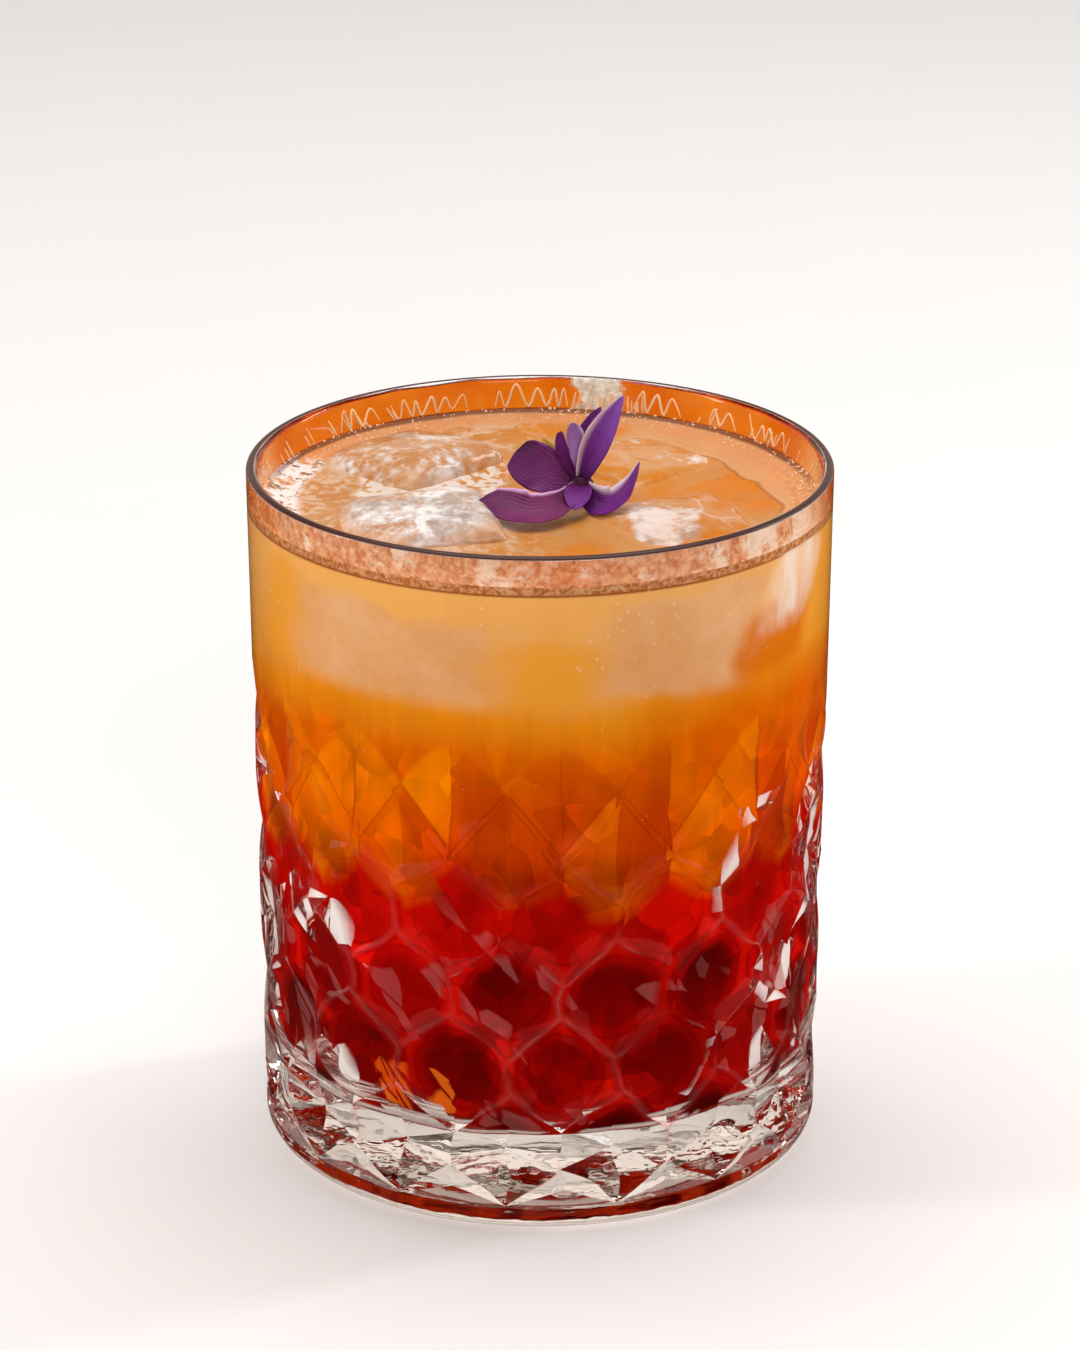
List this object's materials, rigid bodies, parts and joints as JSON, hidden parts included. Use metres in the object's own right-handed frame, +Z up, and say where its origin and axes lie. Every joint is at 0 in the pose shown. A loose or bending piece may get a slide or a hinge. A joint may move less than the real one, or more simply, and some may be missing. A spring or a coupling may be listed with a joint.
{
  "type": "layered cocktail in a cut-glass tumbler",
  "caption": "Short cut-glass tumbler with a drink shading from red through orange to pale peach, topped by ice cubes and a purple edible flower.",
  "frame": {"origin": "middle of the tumbler's foot, on the surface that it stands on", "axes": "+Z up; +X to the viewer's right in the picture; -Y towards the viewer"},
  "size_m": [0.084, 0.084, 0.1127],
  "materials": {
    "clear_glass": "polished, clear",
    "red_drink": "clear red liquid",
    "orange_drink": "cloudy orange liquid",
    "pale_drink": "cloudy pale peach liquid",
    "ice": "wet, part clear and part frosted",
    "purple_petal": "soft petal, satin"
  },
  "bodies": {
    "root": {"tumbler": "clear_glass", "drink_red": "red_drink", "drink_orange": "orange_drink", "drink_pale": "pale_drink", "ice_front_left": "ice", "ice_back_left": "ice", "ice_front_right": "ice", "ice_back_right": "ice", "flower": "purple_petal"}
  },
  "joints": []
}
